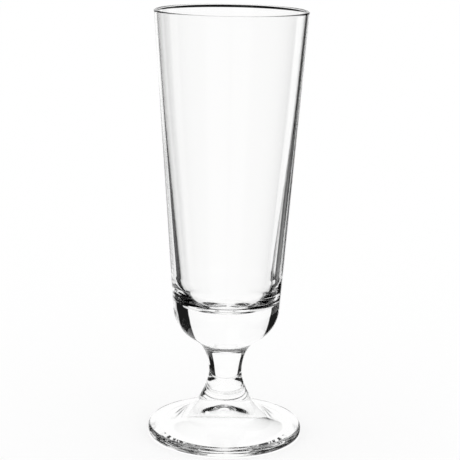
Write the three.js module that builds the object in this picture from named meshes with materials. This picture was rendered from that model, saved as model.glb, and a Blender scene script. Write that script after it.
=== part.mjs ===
// Footed highball glass: a tall tapered bowl on a short waisted stem and a round foot.
// Millimetres, +Z up, origin at the centre of the plane that the foot rests on.
// The three pieces are gathers of the same clear glass, fused face to face while hot.
import * as THREE from 'three';

// Heights of the pieces, stacked from the resting plane up
const FOOT_HEIGHT = 24;
const STEM_LENGTH = 17;
const BOWL_HEIGHT = 159;

// Foot: rounded edge, gently sloping top, flare up to the stem
const FOOT_DIAMETER = 72.9;
const FOOT_EDGE_BELLY = 1.8;
const FOOT_EDGE_HEIGHT = 4.3;
const FOOT_EDGE_ROUNDING = 1.2;
const FOOT_TOP_SLOPE = 10.2;
const FLARE_EDGE_REACH = 14.8;
const FLARE_STEM_REACH = 14.8;

// Underside of the foot: a flat resting ring round a bell-shaped hollow
const REST_RING_INSET = 1.3;
const REST_RING_WIDTH = 5;
const HOLLOW_HEIGHT = 13.1;
const CROWN_REACH = 8;
const BRIM_SLOPE = 9.8;
const BRIM_REACH = 11;

// Stem: waisted, widening by these amounts on the radius to its two joint faces
const STEM_WAIST_DIAMETER = 15.6;
const STEM_WAIST_HEIGHT = 6.3;
const STEM_FOOT_WIDENING = 1.1;
const STEM_BOWL_WIDENING = 2.65;

// Bowl outside: neck, rounded base, straight tapered wall and fire-polished lip
const NECK_REACH = 3.9;
const UNDERSIDE_SLOPE = 35;
const UNDERSIDE_HEIGHT = 3.6;
const BASE_DIAMETER = 50.1;
const BASE_ROUNDING = 17.4;
const RIM_DIAMETER = 70;
const RIM_WALL = 1.4;

// Bowl inside: thin upper wall, a soft bend to the wall that thickens downwards, and a rounded
// corner down to the flat floor above the solid base
const BEND_HEIGHT = 109;
const BEND_WALL = 1.8;
const BEND_SOFTNESS = 18;
const BASE_THICKNESS = 22.25;
const FLOOR_WALL = 4.6;
const BOTTOM_REACH = 8.5;
const BOTTOM_RISE = 16;
const FLOOR_TRIM = 0.5;

// Facets round the axis, and steps along each curve of an outline
const FACETS = 56;
const CURVE_STEPS = 6;
const ARC_STEPS = 4;

const GLASS_COLOUR = 0xf1f5f5;
const GLASS_ROUGHNESS = 0.04;
const GLASS_OPACITY = 0.35;

const stemWaistRadius = STEM_WAIST_DIAMETER / 2;
const footJointRadius = stemWaistRadius + STEM_FOOT_WIDENING;
const bowlJointRadius = stemWaistRadius + STEM_BOWL_WIDENING;
const footArc = waistArc(STEM_FOOT_WIDENING, STEM_WAIST_HEIGHT);
const bowlArc = waistArc(STEM_BOWL_WIDENING, STEM_LENGTH - STEM_WAIST_HEIGHT);

// The round of a stem that is upright at its waist: its radius, and its lean at the joint face.
function waistArc(widening, rise) {
  const radius = (widening ** 2 + rise ** 2) / (2 * widening);
  return { radius, lean: Math.asin(rise / radius) };
}

// A point of an outline, some way from another in a direction measured from the radius.
function along(point, angle, distance) {
  const step = new THREE.Vector2(Math.cos(angle), Math.sin(angle)).multiplyScalar(distance);
  return step.add(point);
}

// One gather of glass, turned from an outline that starts and ends on the axis.
function gather(name, points, height) {
  const geometry = new THREE.LatheGeometry(points, FACETS);
  geometry.rotateX(Math.PI / 2);
  const material = new THREE.MeshStandardMaterial({
    color: GLASS_COLOUR,
    roughness: GLASS_ROUGHNESS,
    metalness: 0,
    transparent: true,
    opacity: GLASS_OPACITY,
  });
  const mesh = new THREE.Mesh(geometry, material);
  mesh.name = name;
  mesh.position.z = height;
  return mesh;
}

function footOutline() {
  const footRadius = FOOT_DIAMETER / 2;
  const ringEdge = footRadius - REST_RING_INSET;
  const brim = new THREE.Vector2(ringEdge - REST_RING_WIDTH, 0);
  const toBrim = along(brim, Math.PI - THREE.MathUtils.degToRad(BRIM_SLOPE), BRIM_REACH);
  const slope = THREE.MathUtils.degToRad(FOOT_TOP_SLOPE);
  const shoulder = new THREE.Vector2(footRadius - FOOT_EDGE_ROUNDING, FOOT_EDGE_HEIGHT);
  const crest = FOOT_EDGE_HEIGHT - FOOT_EDGE_ROUNDING * Math.tan(slope);
  const joint = new THREE.Vector2(footJointRadius, FOOT_HEIGHT);
  const fromEdge = along(shoulder, Math.PI - slope, FLARE_EDGE_REACH);
  const toStem = along(joint, footArc.lean - Math.PI / 2, FLARE_STEM_REACH);

  const outline = new THREE.Path();
  outline.moveTo(0, HOLLOW_HEIGHT);
  outline.bezierCurveTo(CROWN_REACH, HOLLOW_HEIGHT, toBrim.x, toBrim.y, brim.x, brim.y);
  outline.lineTo(ringEdge, 0);
  outline.quadraticCurveTo(footRadius, 0, footRadius, FOOT_EDGE_BELLY);
  outline.quadraticCurveTo(footRadius, crest, shoulder.x, shoulder.y);
  outline.bezierCurveTo(fromEdge.x, fromEdge.y, toStem.x, toStem.y, joint.x, joint.y);
  outline.lineTo(0, FOOT_HEIGHT);
  return outline.getPoints(CURVE_STEPS);
}

function stemOutline() {
  const footCentre = stemWaistRadius + footArc.radius;
  const bowlCentre = stemWaistRadius + bowlArc.radius;
  const footStart = Math.PI + footArc.lean;
  const bowlEnd = Math.PI - bowlArc.lean;

  const outline = new THREE.Path();
  outline.moveTo(0, 0);
  outline.lineTo(footJointRadius, 0);
  outline.absarc(footCentre, STEM_WAIST_HEIGHT, footArc.radius, footStart, Math.PI, true);
  outline.absarc(bowlCentre, STEM_WAIST_HEIGHT, bowlArc.radius, Math.PI, bowlEnd, true);
  outline.lineTo(bowlJointRadius, STEM_LENGTH);
  outline.lineTo(0, STEM_LENGTH);
  return outline.getPoints(ARC_STEPS);
}

// The outside of the bowl: the round of the base, and where the straight wall leaves it for the rim.
function bowlOutside() {
  const centre = new THREE.Vector2(BASE_DIAMETER / 2 - BASE_ROUNDING, UNDERSIDE_HEIGHT + BASE_ROUNDING);
  const lipRadius = RIM_WALL / 2;
  const rim = new THREE.Vector2(RIM_DIAMETER / 2, BOWL_HEIGHT - lipRadius);
  const reach = rim.clone().sub(centre);
  const wallAngle = reach.angle() - Math.acos(BASE_ROUNDING / reach.length());
  const wallStart = along(centre, wallAngle, BASE_ROUNDING);
  const taper = (rim.x - wallStart.x) / (rim.y - wallStart.y);
  return { centre, lipRadius, rim, wallAngle, wallStart, taper };
}

function bowlOutline() {
  const { centre, lipRadius, rim, wallAngle, taper } = bowlOutside();
  const wallRadius = (height) => rim.x - (rim.y - height) * taper;
  const slope = THREE.MathUtils.degToRad(UNDERSIDE_SLOPE);
  const neckEnd = along(centre, slope - Math.PI / 2, BASE_ROUNDING);
  const joint = new THREE.Vector2(bowlJointRadius, 0);
  const fromJoint = along(joint, Math.PI / 2 - bowlArc.lean, NECK_REACH);
  const toBase = along(neckEnd, slope + Math.PI, NECK_REACH);

  const floor = BASE_THICKNESS;
  const bend = new THREE.Vector2(wallRadius(BEND_HEIGHT) - BEND_WALL, BEND_HEIGHT);
  const upperTaper = (rim.x - RIM_WALL - bend.x) / (rim.y - bend.y);
  const lowerTaper = (bend.x - wallRadius(floor) + FLOOR_WALL) / (bend.y - floor);
  const bendTop = new THREE.Vector2(bend.x + upperTaper * BEND_SOFTNESS, bend.y + BEND_SOFTNESS);
  const bendFoot = new THREE.Vector2(bend.x - lowerTaper * BEND_SOFTNESS, bend.y - BEND_SOFTNESS);

  // The rounded bottom is an ellipse that the lower wall meets at a tangent.
  const bottomStart = -Math.atan2(BOTTOM_REACH * lowerTaper, BOTTOM_RISE);
  const bottomCentre = new THREE.Vector2(0, floor - FLOOR_TRIM + BOTTOM_RISE);
  const wallEnd = bottomCentre.y + BOTTOM_RISE * Math.sin(bottomStart);
  bottomCentre.x = bend.x - lowerTaper * (bend.y - wallEnd) - BOTTOM_REACH * Math.cos(bottomStart);
  const bottomEnd = -Math.asin(1 - FLOOR_TRIM / BOTTOM_RISE);

  const outline = new THREE.Path();
  outline.moveTo(0, 0);
  outline.lineTo(joint.x, joint.y);
  outline.bezierCurveTo(fromJoint.x, fromJoint.y, toBase.x, toBase.y, neckEnd.x, neckEnd.y);
  outline.absarc(centre.x, centre.y, BASE_ROUNDING, slope - Math.PI / 2, wallAngle, false);
  outline.lineTo(rim.x, rim.y);
  outline.absarc(rim.x - lipRadius, rim.y, lipRadius, 0, Math.PI, false);
  outline.lineTo(bendTop.x, bendTop.y);
  outline.quadraticCurveTo(bend.x, bend.y, bendFoot.x, bendFoot.y);
  outline.absellipse(
    bottomCentre.x, bottomCentre.y, BOTTOM_REACH, BOTTOM_RISE, bottomStart, bottomEnd, true,
  );
  outline.lineTo(0, floor);
  return outline.getPoints(ARC_STEPS);
}

const glass = new THREE.Group();
glass.add(gather('foot', footOutline(), 0));
glass.add(gather('stem', stemOutline(), FOOT_HEIGHT));
glass.add(gather('bowl', bowlOutline(), FOOT_HEIGHT + STEM_LENGTH));

export default glass;
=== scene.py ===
"""Looks of a clear footed highball glass, and the plain studio that it stands in."""
import math

import bmesh
import bpy
from bpy.props import FloatProperty, FloatVectorProperty, IntProperty, PointerProperty
from mathutils import Matrix, Vector
from mathutils.geometry import interpolate_bezier


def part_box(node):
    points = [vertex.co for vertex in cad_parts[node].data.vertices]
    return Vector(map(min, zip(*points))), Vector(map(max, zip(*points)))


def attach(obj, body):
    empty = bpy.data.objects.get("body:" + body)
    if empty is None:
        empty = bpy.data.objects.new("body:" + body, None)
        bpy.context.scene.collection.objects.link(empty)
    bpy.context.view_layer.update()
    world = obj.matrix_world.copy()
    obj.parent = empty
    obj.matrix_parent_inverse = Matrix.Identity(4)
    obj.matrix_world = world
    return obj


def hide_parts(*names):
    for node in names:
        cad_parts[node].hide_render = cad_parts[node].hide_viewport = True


bl_info = {
    "name": "Footed Highball Glass",
    "version": (1, 0, 0),
    "blender": (4, 5, 0),
    "location": "3D View > Sidebar > Glass",
    "description": "Makes a clear footed highball glass from its foot, stem and bowl",
    "category": "Add Mesh",
}

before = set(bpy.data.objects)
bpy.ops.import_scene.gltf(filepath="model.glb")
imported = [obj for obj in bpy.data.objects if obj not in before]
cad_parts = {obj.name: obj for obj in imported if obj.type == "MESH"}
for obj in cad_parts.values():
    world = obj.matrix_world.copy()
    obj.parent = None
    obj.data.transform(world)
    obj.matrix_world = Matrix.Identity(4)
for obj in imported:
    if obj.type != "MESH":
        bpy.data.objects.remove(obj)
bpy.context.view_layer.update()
BODY = "root"

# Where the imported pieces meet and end, in metres
FOOT_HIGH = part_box("foot")[1]
STEM_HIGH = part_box("stem")[1]
BOWL_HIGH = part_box("bowl")[1]

# How finely the outlines and the turned meshes are divided
CURVE_STEPS = 24
ROUND_STEPS = 12
CREASE_SOFTNESS = 0.0003
POLE_MERGE = 1e-6
LEVEL_TOLERANCE = 1e-6
LEAST_LENGTH = 0.0001

# How far a curve's handles lie on the way to the corner that it turns, as those of a parabola do
TO_CORNER = 2 / 3


def length(name, description, default):
    """A size of the glass that a user may change."""
    return FloatProperty(
        name=name, description=description, default=default, min=LEAST_LENGTH, unit="LENGTH"
    )


def angle(name, description, degrees):
    """An angle that a user may change."""
    return FloatProperty(
        name=name, description=description, default=math.radians(degrees), subtype="ANGLE"
    )


def colour(name, description, default):
    """A colour that a user may change."""
    return FloatVectorProperty(
        name=name, description=description, default=default, size=4, min=0, max=1, subtype="COLOR"
    )


class FootSizes(bpy.types.PropertyGroup):
    """The round foot: its edge, its flare and its underside."""

    diameter: length("Diameter", "Across the widest part of the edge", 2 * FOOT_HIGH.x)
    height: length("Height", "From the table to the joint with the stem", FOOT_HIGH.z)
    edge_belly: length("Edge Belly", "Height at which the edge is widest", 0.0018)
    edge_height: length("Edge Height", "Where the edge turns into the top", 0.0043)
    edge_rounding: length("Edge Rounding", "How far the top starts inside the widest part", 0.0012)
    top_slope: angle("Top Slope", "Rise of the top inwards from the edge", 10.2)
    edge_reach: length("Edge Reach", "How far the flare follows the slope of the top", 0.0148)
    stem_reach: length("Stem Reach", "How far the flare follows the side of the stem", 0.0148)
    rest_inset: length("Rest Inset", "From the widest part in to the flat resting face", 0.0013)
    ring_width: length("Ring Width", "Breadth of the flat ring that the glass rests on", 0.005)
    hollow_height: length("Hollow Height", "Height of the bell-shaped hollow", 0.0131)
    crown_reach: length("Crown Reach", "How far the hollow keeps to its flat crown", 0.008)
    brim_slope: angle("Brim Slope", "Rise of the hollow in from the ring", 9.8)
    brim_reach: length("Brim Reach", "How far the hollow keeps to the slope of its brim", 0.011)


class StemSizes(bpy.types.PropertyGroup):
    """The short waisted stem."""

    top: length("Top", "Height of the joint with the bowl", STEM_HIGH.z)
    waist_diameter: length("Waist Diameter", "Across the narrowest part", 0.0156)
    waist_rise: length("Waist Rise", "Height of the waist above the foot's joint", 0.0063)
    foot_widening: length("Foot Widening", "Growth of the radius down to the foot", 0.0011)
    bowl_radius: length("Bowl Joint Radius", "Radius of the joint with the bowl", STEM_HIGH.x)


class BowlSizes(bpy.types.PropertyGroup):
    """The tall bowl: heavy base, straight tapered wall and round lip."""

    top: length("Top", "Height of the lip above the table", BOWL_HIGH.z)
    rim_diameter: length("Rim Diameter", "Across the lip", 2 * BOWL_HIGH.x)
    rim_wall: length("Rim Wall", "Thickness of the lip", 0.0014)
    neck_reach: length("Neck Reach", "How far the neck keeps its two slopes", 0.0039)
    underside_slope: angle("Underside Slope", "Rise of the underside outwards", 35)
    underside_height: length("Underside Height", "From the joint up to the base's round", 0.0036)
    base_diameter: length("Base Diameter", "Across the base's round", 0.0501)
    base_rounding: length("Base Rounding", "Radius of the base's round", 0.0174)
    base_thickness: length("Base Thickness", "Solid glass under the drink", 0.02225)
    floor_wall: length("Floor Wall", "Wall at the height of the floor", 0.0046)
    bend_height: length("Bend Height", "Where the wall starts to thicken downwards", 0.109)
    bend_wall: length("Bend Wall", "Wall at the bend", 0.0018)
    bend_softness: length("Bend Softness", "How far the bend spreads up and down", 0.018)
    bottom_reach: length("Bottom Reach", "Width of the floor's rounded corner", 0.0085)
    bottom_rise: length("Bottom Rise", "Height of the floor's rounded corner", 0.016)
    floor_trim: length("Floor Trim", "How much of the corner the flat floor takes off", 0.0005)


class GlassFinish(bpy.types.PropertyGroup):
    """The clear glass that the three pieces share."""

    facets: IntProperty(
        name="Facets", description="Facets round the axis", default=192, min=24, max=512
    )
    tint: colour("Tint", "Colour of the clearest glass", (1, 1, 1, 1))
    streak_tint: colour("Streak Tint", "Colour of the faint streaks", (0.996, 0.997, 0.994, 1))
    refraction: FloatProperty(
        name="Refraction", description="Index of refraction", default=1.52, min=1
    )
    mirror: colour("Mirror", "Share of natural reflection that the skin keeps", (0.2, 0.2, 0.2, 1))
    ripple: length("Ripple", "Depth of the fire-polished surface's ripples", 0.0001)


class StageLook(bpy.types.PropertyGroup):
    """The studio: a pale floor, a white light tent with black flags, and the camera."""

    floor_colour: colour("Floor", "Colour of the floor", (1, 1, 1, 1))
    tent_radius: length("Tent Radius", "From the glass to the tent's wall", 0.205)
    view_turn: angle("View Turn", "Direction of the main view, from +Y towards +X", -64)
    view_pitch: angle("View Pitch", "How far the camera looks down", 13.21)
    view_roll: angle("View Roll", "Lean of the camera", 1.05)
    view_distance: length("View Distance", "Camera to the glass, along the table", 0.663)
    view_height: length("View Height", "Camera above the table", 0.254)


class Value:
    """A socket of a node tree, for use in Python expressions."""

    def __init__(self, tree, socket=None):
        self.tree = tree
        self.socket = socket

    def node(self, kind, settings=None, inputs=None, output=0):
        """Adds a node, sets it up, feeds its sockets and returns one of its outputs."""
        node = self.tree.nodes.new(kind)
        for name, value in (settings or {}).items():
            setattr(node, name, value)
        for name, value in (inputs or {}).items():
            if isinstance(value, Value):
                self.tree.links.new(value.socket, node.inputs[name])
            else:
                node.inputs[name].default_value = value
        return Value(self.tree, node.outputs[output] if node.outputs else None)

    def math(self, operation, first, second=0.0):
        return self.node("ShaderNodeMath", {"operation": operation}, {0: first, 1: second})

    def __add__(self, other):
        return self.math("ADD", self, other)

    def __radd__(self, other):
        return self.math("ADD", other, self)

    def __sub__(self, other):
        return self.math("SUBTRACT", self, other)

    def __rsub__(self, other):
        return self.math("SUBTRACT", other, self)

    def __mul__(self, other):
        return self.math("MULTIPLY", self, other)

    def __rmul__(self, other):
        return self.math("MULTIPLY", other, self)

    def larger(self, other):
        return self.math("MAXIMUM", self, other)

    def step(self, middle, softness):
        """From 0 below the middle to 1 above it."""
        limits = {"From Min": middle - softness / 2, "From Max": middle + softness / 2}
        settings = {"interpolation_type": "SMOOTHSTEP"}
        return self.node("ShaderNodeMapRange", settings, {"Value": self, **limits})

    def between(self, low, high, softness):
        """1 between two values, and 0 outside them."""
        return self.step(low, softness) * (1 - self.step(high, softness))

    def blend(self, low, high):
        """A colour that goes from low to high as this value goes from 0 to 1."""
        inputs = {"Factor": self, 6: low, 7: high}
        return self.node("ShaderNodeMix", {"data_type": "RGBA"}, inputs, 2)


def fresh_tree(owner):
    """The emptied node tree of a material or world."""
    owner.use_nodes = True
    owner.node_tree.nodes.clear()
    return Value(owner.node_tree)


def fresh_material(name):
    material = bpy.data.materials.new(name)
    return material, fresh_tree(material)


def place(tree):
    """X, Y and Z of a surface point, in the frame of its object."""
    point = tree.node("ShaderNodeTexCoord", output="Object")
    return [tree.node("ShaderNodeSeparateXYZ", inputs={0: point}, output=axis) for axis in range(3)]


# The glass's streaks and ripples, in cycles a metre, and how strongly the ripples tilt its skin
STREAK_SCALE = 35
STREAK_DETAIL = 2
RIPPLE_SCALE = 90
RIPPLE_STRENGTH = 0.05


def noise(tree, scale, detail):
    """Slow random variation through the body of an object."""
    point = tree.node("ShaderNodeTexCoord", output="Object")
    inputs = {"Vector": point, "Scale": scale, "Detail": detail}
    return tree.node("ShaderNodeTexNoise", inputs=inputs)


def polished_glass(finish):
    """Fire-polished glass: faint streaks in its tint and slow ripples in its skin."""
    material, tree = fresh_material("polished_glass")
    streaks = noise(tree, STREAK_SCALE, STREAK_DETAIL)
    ripples = noise(tree, RIPPLE_SCALE, 0)
    skin = tree.node(
        "ShaderNodeBump",
        inputs={"Strength": RIPPLE_STRENGTH, "Distance": finish.ripple, "Height": ripples},
    )
    glass = tree.node(
        "ShaderNodeBsdfPrincipled",
        inputs={
            "Base Color": streaks.blend(finish.tint, finish.streak_tint),
            "Roughness": 0.0,
            "IOR": finish.refraction,
            "Transmission Weight": 1.0,
            "Specular Tint": finish.mirror,
            "Normal": skin,
        },
    )
    tree.node("ShaderNodeOutputMaterial", inputs={"Surface": glass})
    return material


def fused_face(finish):
    """The face where two gathers have run together: no light turns back there."""
    material, tree = fresh_material("fused_face")
    glass = tree.node(
        "ShaderNodeBsdfPrincipled",
        inputs={
            "Roughness": 0.0,
            "IOR": finish.refraction,
            "Transmission Weight": 1.0,
            "Alpha": 0.0,
        },
    )
    tree.node("ShaderNodeOutputMaterial", inputs={"Surface": glass})
    return material


def shared(make, finish):
    """A material of the glass, made once for all the pieces."""
    return bpy.data.materials.get(make.__name__) or make(finish)


def at(radius, height):
    return Vector((radius, 0, height))


def off(point, direction, distance):
    """A point of a section, some way from another in a direction measured from the radius."""
    return point + distance * at(math.cos(direction), math.sin(direction))


class Outline:
    """Half of a lengthwise section, drawn from the axis round to the axis."""

    def __init__(self, height):
        self.points = [at(0, height)]

    def line(self, end):
        """A straight run, with a point beside each end that keeps its creases small."""
        start = self.points[-1]
        reach = CREASE_SOFTNESS / (end - start).length
        self.points += [start.lerp(end, reach), end.lerp(start, reach), end]

    def curve(self, leaving, arriving, end, steps=CURVE_STEPS):
        self.points += interpolate_bezier(self.points[-1], leaving, arriving, end, steps + 1)[1:]

    def turn(self, corner, end, steps=ROUND_STEPS):
        """A soft turn that keeps to the two sides of a corner."""
        start = self.points[-1]
        self.curve(start.lerp(corner, TO_CORNER), end.lerp(corner, TO_CORNER), end, steps)

    def round(self, centre, across, up, start, end, steps=CURVE_STEPS):
        """Part of an ellipse."""
        for step in range(1, steps + 1):
            bearing = start + (end - start) * step / steps
            self.points.append(centre + at(across * math.cos(bearing), up * math.sin(bearing)))


def turned_piece(name, outline, joint_heights, finish):
    """A gather of glass, spun from its outline, with its fused faces at the joints."""
    mesh = bmesh.new()
    section = [mesh.verts.new(point) for point in outline.points]
    section += [mesh.edges.new(pair) for pair in zip(section, section[1:])]
    bmesh.ops.spin(
        mesh, geom=section, cent=(0, 0, 0), axis=(0, 0, 1),
        angle=math.tau, steps=finish.facets, use_merge=True,
    )
    bmesh.ops.remove_doubles(mesh, verts=mesh.verts, dist=POLE_MERGE)
    bmesh.ops.recalc_face_normals(mesh, faces=mesh.faces)
    for face in mesh.faces:
        face.smooth = True
        heights = [vertex.co.z for vertex in face.verts]
        for joint in joint_heights:
            if max(abs(height - joint) for height in heights) < LEVEL_TOLERANCE:
                face.material_index = 1
    for edge in mesh.edges:
        edge.smooth = len({face.material_index for face in edge.link_faces}) == 1
    data = bpy.data.meshes.new(name)
    mesh.to_mesh(data)
    mesh.free()
    data.materials.append(shared(polished_glass, finish))
    data.materials.append(shared(fused_face, finish))
    piece = bpy.data.objects.new(name, data)
    bpy.context.scene.collection.objects.link(piece)
    return piece


def finish_piece(piece, node):
    """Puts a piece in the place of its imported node."""
    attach(piece, BODY)
    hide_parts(node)


def waist(widening, rise):
    """Radius of a stem's round that is upright at its waist, and its lean at the joint."""
    radius = (widening ** 2 + rise ** 2) / (2 * widening)
    return radius, math.asin(rise / radius)


def stem_rounds(glass):
    """The rounds of the stem below and above its waist, as radius and lean."""
    stem = glass.stem
    rise = stem.top - glass.foot.height - stem.waist_rise
    widening = stem.bowl_radius - stem.waist_diameter / 2
    return waist(stem.foot_widening, stem.waist_rise), waist(widening, rise)


def foot_outline(glass):
    foot = glass.foot
    radius = foot.diameter / 2
    ring = at(radius - foot.rest_inset, 0)
    brim = off(ring, math.pi, foot.ring_width)
    joint = at(glass.stem.waist_diameter / 2 + glass.stem.foot_widening, foot.height)
    shoulder = at(radius - foot.edge_rounding, foot.edge_height)
    crest = at(radius, foot.edge_height - foot.edge_rounding * math.tan(foot.top_slope))
    lean = stem_rounds(glass)[0][1]
    outline = Outline(foot.hollow_height)
    outline.curve(
        at(foot.crown_reach, foot.hollow_height),
        off(brim, math.pi - foot.brim_slope, foot.brim_reach),
        brim,
        2 * CURVE_STEPS,
    )
    outline.line(ring)
    outline.turn(at(radius, 0), at(radius, foot.edge_belly))
    outline.turn(crest, shoulder)
    outline.curve(
        off(shoulder, math.pi - foot.top_slope, foot.edge_reach),
        off(joint, lean - math.pi / 2, foot.stem_reach),
        joint,
        2 * CURVE_STEPS,
    )
    outline.points.append(at(0, foot.height))
    return outline


def stem_outline(glass):
    foot_height = glass.foot.height
    stem = glass.stem
    waist_radius = stem.waist_diameter / 2
    waist_height = foot_height + stem.waist_rise
    (lower, lower_lean), (upper, upper_lean) = stem_rounds(glass)
    outline = Outline(foot_height)
    outline.points.append(at(waist_radius + stem.foot_widening, foot_height))
    outline.round(
        at(waist_radius + lower, waist_height), lower, lower,
        math.pi + lower_lean, math.pi, ROUND_STEPS,
    )
    outline.round(
        at(waist_radius + upper, waist_height), upper, upper,
        math.pi, math.pi - upper_lean, ROUND_STEPS,
    )
    outline.points[-1] = at(stem.bowl_radius, stem.top)
    outline.points.append(at(0, stem.top))
    return outline


def bowl_outline(glass):
    bowl = glass.bowl
    bottom = glass.stem.top
    lip = bowl.rim_wall / 2
    rim = at(bowl.rim_diameter / 2, bowl.top - lip)
    joint = at(glass.stem.bowl_radius, bottom)
    lean = stem_rounds(glass)[1][1]
    centre = at(
        bowl.base_diameter / 2 - bowl.base_rounding,
        bottom + bowl.underside_height + bowl.base_rounding,
    )
    reach = rim - centre
    wall_bearing = math.atan2(reach.z, reach.x) - math.acos(bowl.base_rounding / reach.length)
    wall_start = off(centre, wall_bearing, bowl.base_rounding)
    taper = (rim.x - wall_start.x) / (rim.z - wall_start.z)
    neck_end = off(centre, bowl.underside_slope - math.pi / 2, bowl.base_rounding)

    def wall_radius(height):
        return rim.x - (rim.z - height) * taper

    floor = bottom + bowl.base_thickness
    bend_height = bottom + bowl.bend_height
    bend = at(wall_radius(bend_height) - bowl.bend_wall, bend_height)
    lip_inside = at(rim.x - bowl.rim_wall, rim.z)
    upper_run = (lip_inside - bend) / (rim.z - bend.z)
    floor_side = at(wall_radius(floor) - bowl.floor_wall, floor)
    lower_run = (bend - floor_side) / (bend.z - floor)
    bottom_start = -math.atan2(bowl.bottom_reach * lower_run.x, bowl.bottom_rise)
    bottom_centre = at(0, floor - bowl.floor_trim + bowl.bottom_rise)
    wall_end = bottom_centre.z + bowl.bottom_rise * math.sin(bottom_start)
    wall_end_radius = bend.x - lower_run.x * (bend.z - wall_end)
    bottom_centre.x = wall_end_radius - bowl.bottom_reach * math.cos(bottom_start)

    outline = Outline(bottom)
    outline.points.append(joint)
    outline.curve(
        off(joint, math.pi / 2 - lean, bowl.neck_reach),
        off(neck_end, bowl.underside_slope + math.pi, bowl.neck_reach),
        neck_end,
        ROUND_STEPS,
    )
    outline.round(
        centre, bowl.base_rounding, bowl.base_rounding,
        bowl.underside_slope - math.pi / 2, wall_bearing,
    )
    outline.line(rim)
    outline.round(at(rim.x - lip, rim.z), lip, lip, 0, math.pi, ROUND_STEPS)
    outline.line(bend + upper_run * bowl.bend_softness)
    outline.turn(bend, bend - lower_run * bowl.bend_softness)
    outline.line(at(wall_end_radius, wall_end))
    outline.round(
        bottom_centre, bowl.bottom_reach, bowl.bottom_rise,
        bottom_start, -math.asin(1 - bowl.floor_trim / bowl.bottom_rise),
    )
    outline.line(at(0, floor))
    return outline


class GLASS_OT_make_foot(bpy.types.Operator):
    """Makes the round foot with its flare and hollow"""

    bl_idname = "glass.make_foot"
    bl_label = "Make Foot"

    def execute(self, context):
        glass = context.scene.highball
        joints = [glass.foot.height]
        finish_piece(turned_piece("foot_glass", foot_outline(glass), joints, glass.finish), "foot")
        return {"FINISHED"}


class GLASS_OT_make_stem(bpy.types.Operator):
    """Makes the short waisted stem"""

    bl_idname = "glass.make_stem"
    bl_label = "Make Stem"

    def execute(self, context):
        glass = context.scene.highball
        joints = [glass.foot.height, glass.stem.top]
        finish_piece(turned_piece("stem_glass", stem_outline(glass), joints, glass.finish), "stem")
        return {"FINISHED"}


class GLASS_OT_make_bowl(bpy.types.Operator):
    """Makes the tall bowl with its heavy base and round lip"""

    bl_idname = "glass.make_bowl"
    bl_label = "Make Bowl"

    def execute(self, context):
        glass = context.scene.highball
        joints = [glass.stem.top]
        finish_piece(turned_piece("bowl_glass", bowl_outline(glass), joints, glass.finish), "bowl")
        return {"FINISHED"}


# The tent's wall, in degrees from the main viewing direction: the white window behind the glass
# with black flags at its sides, and narrower white openings behind it in views from other sides.
# An opening has the bearing of its middle, its half width and the height that it starts at.
WINDOW = -40, 29
WINDOW_EDGE = 1.0
OPENINGS = (64, 11, 0.0), (-161, 17, -0.12)
OPENING_EDGE = 4.0
OPENING_LOW_EDGE = 0.006
FLAG_BLACK = 0.012
TENT_LOW = -0.12
TENT_HIGH = 0.45
TENT_FACETS = 120


def tent_light():
    """White paper with black flags, as a light of strength 1 or less."""
    material, tree = fresh_material("tent_light")
    x, y, z = place(tree)
    bearing = tree.math("ARCTAN2", x, y) * math.degrees(1)
    white = bearing.between(*WINDOW, WINDOW_EDGE)
    for middle, half, low in OPENINGS:
        across = bearing.between(middle - half, middle + half, OPENING_EDGE)
        white = white.larger(across * z.step(low, OPENING_LOW_EDGE))
    light = tree.node("ShaderNodeEmission", inputs={"Color": FLAG_BLACK + white * (1 - FLAG_BLACK)})
    tree.node("ShaderNodeOutputMaterial", inputs={"Surface": light})
    return material


def plain_light(name, level):
    """An even grey that needs no lamp."""
    material, tree = fresh_material(name)
    light = tree.node("ShaderNodeEmission", inputs={"Color": (level, level, level, 1)})
    tree.node("ShaderNodeOutputMaterial", inputs={"Surface": light})
    return material


def stage_object(name, mesh, material):
    """A part of the studio, which isn't part of the glass."""
    data = bpy.data.meshes.new(name)
    mesh.to_mesh(data)
    mesh.free()
    data.materials.append(material)
    item = bpy.data.objects.new(name, data)
    bpy.context.scene.collection.objects.link(item)
    return item


def hide_from_camera(item):
    """Leaves an object to be seen in the glass alone."""
    item.visible_camera = False
    item.visible_diffuse = False
    item.visible_shadow = False


def make_tent(look):
    mesh = bmesh.new()
    lift = Matrix.Translation((0, 0, TENT_LOW))
    bmesh.ops.create_circle(mesh, segments=TENT_FACETS, radius=look.tent_radius, matrix=lift)
    wall = bmesh.ops.extrude_edge_only(mesh, edges=mesh.edges)
    raised = [item for item in wall["geom"] if isinstance(item, bmesh.types.BMVert)]
    bmesh.ops.translate(mesh, verts=raised, vec=(0, 0, TENT_HIGH - TENT_LOW))
    tent = stage_object("light_tent", mesh, tent_light())
    tent.rotation_euler.z = -look.view_turn
    hide_from_camera(tent)


# The rim flag: how far it lies below the lip and off its side, and how broad it is
RIM_FLAG_LOW = 0.0018
RIM_FLAG_GAP = 0.0022
RIM_FLAG_WIDTH = 0.043


def make_rim_flag(glass):
    """A flat black ring round the lip, which draws its dark line."""
    mesh = bmesh.new()
    level = Matrix.Translation((0, 0, glass.bowl.top - RIM_FLAG_LOW))
    inside = glass.bowl.rim_diameter / 2 + RIM_FLAG_GAP
    for radius in (inside, inside + RIM_FLAG_WIDTH):
        bmesh.ops.create_circle(mesh, segments=TENT_FACETS, radius=radius, matrix=level)
    bmesh.ops.bridge_loops(mesh, edges=mesh.edges)
    hide_from_camera(stage_object("rim_flag", mesh, plain_light("flag_black", FLAG_BLACK)))


# The floor: half its width, how far it lies under the glass, and the share of it that takes shadow
FLOOR_SIZE = 3.0
FLOOR_DROP = 0.0003
SHADOW_SHARE = 0.3


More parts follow.
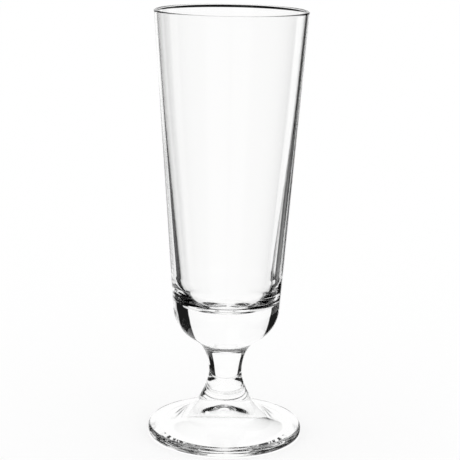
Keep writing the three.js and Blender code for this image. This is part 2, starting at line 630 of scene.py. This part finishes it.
def pale_floor(look):
    """White paper that keeps a faint shadow of the glass."""
    material, tree = fresh_material("pale_floor")
    paper = tree.node("ShaderNodeBsdfDiffuse", inputs={"Color": look.floor_colour})
    light = tree.node("ShaderNodeEmission", inputs={"Color": look.floor_colour})
    mixed = tree.node("ShaderNodeMixShader", inputs={0: SHADOW_SHARE, 1: light, 2: paper})
    tree.node("ShaderNodeOutputMaterial", inputs={"Surface": mixed})
    return material


def make_floor(look):
    mesh = bmesh.new()
    level = Matrix.Translation((0, 0, -FLOOR_DROP))
    bmesh.ops.create_grid(mesh, x_segments=1, y_segments=1, size=FLOOR_SIZE, matrix=level)
    floor = stage_object("floor", mesh, pale_floor(look))
    floor.visible_transmission = False
    floor.visible_glossy = False


# How far the footprint lies under the glass, just above the floor
FOOTPRINT_DROP = 0.0002


def make_footprint(glass):
    """The part of the floor that shows through the hollow of the foot, as painted light: an even
    white glow in place of the light that comes through the glass, with no shadow of the glass on
    it.
    """
    mesh = bmesh.new()
    level = Matrix.Translation((0, 0, -FOOTPRINT_DROP))
    radius = glass.foot.diameter / 2
    bmesh.ops.create_circle(mesh, cap_ends=True, segments=TENT_FACETS, radius=radius, matrix=level)
    # Painted light: the disc glows plain white under the foot, where the glass would shade the
    # floor
    stage_object("footprint", mesh, plain_light("footprint_painted_light", 1.0))


# The camera's lens, in pixels of the picture, and how far the glass stands left of its middle
PICTURE_PIXELS = 460
FOCAL_PIXELS = 1464
LEFT_PIXELS = 2.2
SENSOR = 36.0
NEAREST = 0.01


def make_camera(look):
    lens = bpy.data.cameras.new("view")
    lens.sensor_fit = "HORIZONTAL"
    lens.sensor_width = SENSOR
    lens.lens = SENSOR * FOCAL_PIXELS / PICTURE_PIXELS
    lens.shift_x = LEFT_PIXELS / PICTURE_PIXELS
    lens.clip_start = NEAREST
    camera = bpy.data.objects.new("view", lens)
    bpy.context.scene.collection.objects.link(camera)
    camera.matrix_world = (
        Matrix.Rotation(-look.view_turn, 4, "Z")
        @ Matrix.Translation((0, -look.view_distance, look.view_height))
        @ Matrix.Rotation(math.pi / 2 - look.view_pitch, 4, "X")
        @ Matrix.Rotation(look.view_roll, 4, "Z")
    )
    bpy.context.scene.camera = camera


def make_world():
    world = bpy.data.worlds.new("white_studio")
    bpy.context.scene.world = world
    tree = fresh_tree(world)
    light = tree.node("ShaderNodeBackground", inputs={"Color": (1, 1, 1, 1), "Strength": 1.0})
    tree.node("ShaderNodeOutputWorld", inputs={"Surface": light})


# How often light may turn in the glass before its path ends
GLASS_BOUNCES = 12


class GLASS_OT_make_stage(bpy.types.Operator):
    """Makes the floor, the light tent, the white surroundings and the camera"""

    bl_idname = "glass.make_stage"
    bl_label = "Make Stage"

    def execute(self, context):
        glass = context.scene.highball
        make_floor(glass.stage)
        make_footprint(glass)
        make_tent(glass.stage)
        make_rim_flag(glass)
        make_world()
        make_camera(glass.stage)
        context.scene.view_settings.view_transform = "Standard"
        cycles = context.scene.cycles
        cycles.max_bounces = GLASS_BOUNCES
        cycles.transmission_bounces = GLASS_BOUNCES
        cycles.glossy_bounces = GLASS_BOUNCES
        return {"FINISHED"}


class Highball(bpy.types.PropertyGroup):
    """All the settings of the glass and its studio."""

    foot: PointerProperty(type=FootSizes, name="Foot", description="Sizes of the foot")
    stem: PointerProperty(type=StemSizes, name="Stem", description="Sizes of the stem")
    bowl: PointerProperty(type=BowlSizes, name="Bowl", description="Sizes of the bowl")
    finish: PointerProperty(type=GlassFinish, name="Finish", description="Look of the glass")
    stage: PointerProperty(type=StageLook, name="Stage", description="Look of the studio")


OPERATORS = GLASS_OT_make_foot, GLASS_OT_make_stem, GLASS_OT_make_bowl, GLASS_OT_make_stage


class VIEW3D_PT_highball(bpy.types.Panel):
    """Lists what makes the glass"""

    bl_label = "Footed Highball Glass"
    bl_space_type = "VIEW_3D"
    bl_region_type = "UI"
    bl_category = "Glass"

    def draw(self, context):
        glass = context.scene.highball
        for group in (glass.foot, glass.stem, glass.bowl, glass.finish, glass.stage):
            for name in group.__annotations__:
                self.layout.prop(group, name)
        for operator in OPERATORS:
            self.layout.operator(operator.bl_idname)


SETTINGS = FootSizes, StemSizes, BowlSizes, GlassFinish, StageLook, Highball
CLASSES = *SETTINGS, *OPERATORS, VIEW3D_PT_highball


def register():
    for item in CLASSES:
        bpy.utils.register_class(item)
    bpy.types.Scene.highball = PointerProperty(type=Highball)


def unregister():
    del bpy.types.Scene.highball
    for item in reversed(CLASSES):
        bpy.utils.unregister_class(item)


def main():
    register()
    bpy.ops.glass.make_foot()
    bpy.ops.glass.make_stem()
    bpy.ops.glass.make_bowl()
    bpy.ops.glass.make_stage()


if __name__ == "__main__":
    main()
